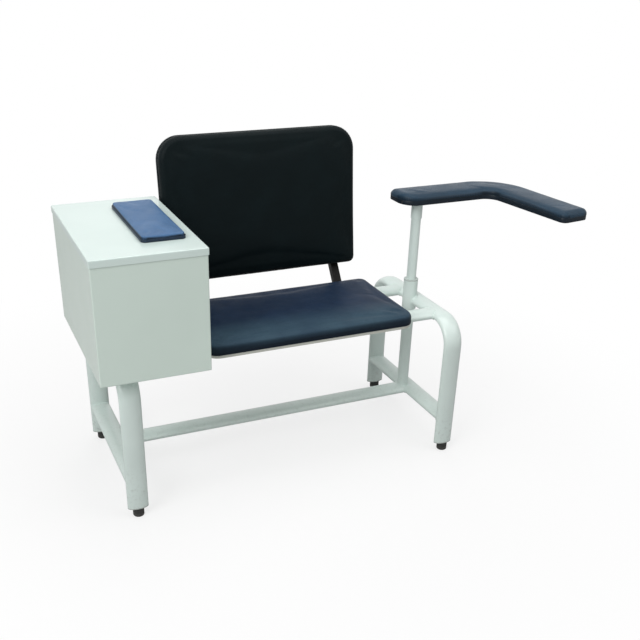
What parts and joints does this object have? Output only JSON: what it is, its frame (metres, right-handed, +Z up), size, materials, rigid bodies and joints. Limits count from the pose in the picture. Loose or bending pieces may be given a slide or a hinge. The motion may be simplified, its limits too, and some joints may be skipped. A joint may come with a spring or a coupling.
{
  "type": "phlebotomy chair",
  "caption": "Tube-framed blood-draw chair with padded seat and back, a storage cabinet with a padded lid on one side and a padded swing arm on a sliding post on the other.",
  "frame": {"origin": "on the floor, under the middle of the whole object's box", "axes": "+Z up; +X towards the sitter's left, where the swing arm is; the sitter faces -Y; the cabinet is at -X"},
  "size_m": [1.4276, 0.606, 0.9547],
  "materials": {
    "frame_paint": "semi-gloss powder coat",
    "plug_plastic": "moulded, slightly darker than the paint",
    "foot_rubber": "matt",
    "guide_plastic": "natural nylon, matt",
    "knob_plastic": "semi-gloss",
    "zinc_steel": "zinc plated",
    "hinge_steel": "zinc plated",
    "bracket_paint": "satin",
    "seat_board": "pale sealed plywood edge",
    "dark_board": "black stained plywood",
    "seat_vinyl": "smooth coated vinyl",
    "back_vinyl": "smooth coated vinyl",
    "arm_vinyl": "smooth coated vinyl",
    "lid_pad_vinyl": "smooth coated vinyl",
    "cabinet_paint": "gloss enamel",
    "lid_paint": "gloss enamel"
  },
  "bodies": {
    "frame": {"left_end_frame": "frame_paint", "right_end_frame": "frame_paint", "left_side_rail": "frame_paint", "right_side_rail": "frame_paint", "stretcher": "frame_paint", "front_cross_tube": "frame_paint", "rear_cross_tube": "frame_paint", "plug_front_left": "plug_plastic", "plug_front_right": "plug_plastic", "plug_rear_left": "plug_plastic", "plug_rear_right": "plug_plastic", "foot_front_left": "foot_rubber", "foot_front_right": "foot_rubber", "foot_rear_left": "foot_rubber", "foot_rear_right": "foot_rubber", "post_guide_tube": "frame_paint", "post_collar": "frame_paint", "clamp_boss": "frame_paint", "guide_bush": "guide_plastic", "seat_board": "seat_board", "seat_cushion": "seat_vinyl", "seat_screws": "zinc_steel", "back_bracket_left": "bracket_paint", "back_bracket_right": "bracket_paint", "bracket_caps": "knob_plastic", "bracket_bolts": "zinc_steel", "bracket_nuts": "zinc_steel", "back_board": "dark_board", "back_cushion": "back_vinyl", "back_screws": "zinc_steel", "cabinet_body": "cabinet_paint", "cabinet_bolts": "zinc_steel", "cabinet_nuts": "zinc_steel", "lid_bumpers": "foot_rubber", "hinge_leaf_body": "hinge_steel", "hinge_pin": "hinge_steel", "hinge_rivets_body": "hinge_steel"},
    "arm_post": {"arm_post": "frame_paint", "post_glide": "guide_plastic", "post_top_plug": "zinc_steel", "pivot_bolt": "zinc_steel"},
    "arm": {"swivel_hub": "frame_paint", "arm_plate": "frame_paint", "arm_board": "dark_board", "arm_pad": "arm_vinyl", "arm_screws": "zinc_steel"},
    "clamp": {"clamp_knob": "knob_plastic", "clamp_stud": "zinc_steel"},
    "lid": {"cabinet_lid": "lid_paint", "hinge_leaf_lid": "hinge_steel", "hinge_rivets_lid": "hinge_steel", "lid_pad_board": "dark_board", "lid_pad": "lid_pad_vinyl", "lid_pad_screws": "zinc_steel"}
  },
  "joints": [
    {"name": "arm_height", "type": "slide", "parent": "frame", "child": "arm_post", "axis": [0, 0, 1], "range_m": [-0.12, 0.08]},
    {"name": "arm_swivel", "type": "hinge", "parent": "arm_post", "child": "arm", "pos_m": [0.34816, 0.05203, 0.755], "axis": [0, 0, 1], "range_deg": [-90, 45]},
    {"name": "clamp_knob_turn", "type": "hinge", "parent": "frame", "child": "clamp", "pos_m": [0.34816, 0.05203, 0.47816], "axis": [0.5, 0.866, 0], "range_deg": [0, 360]},
    {"name": "lid_hinge", "type": "hinge", "parent": "frame", "child": "lid", "pos_m": [-0.56434, 0.26203, 0.7645], "axis": [-1, 0, 0], "range_deg": [0, 100]}
  ]
}
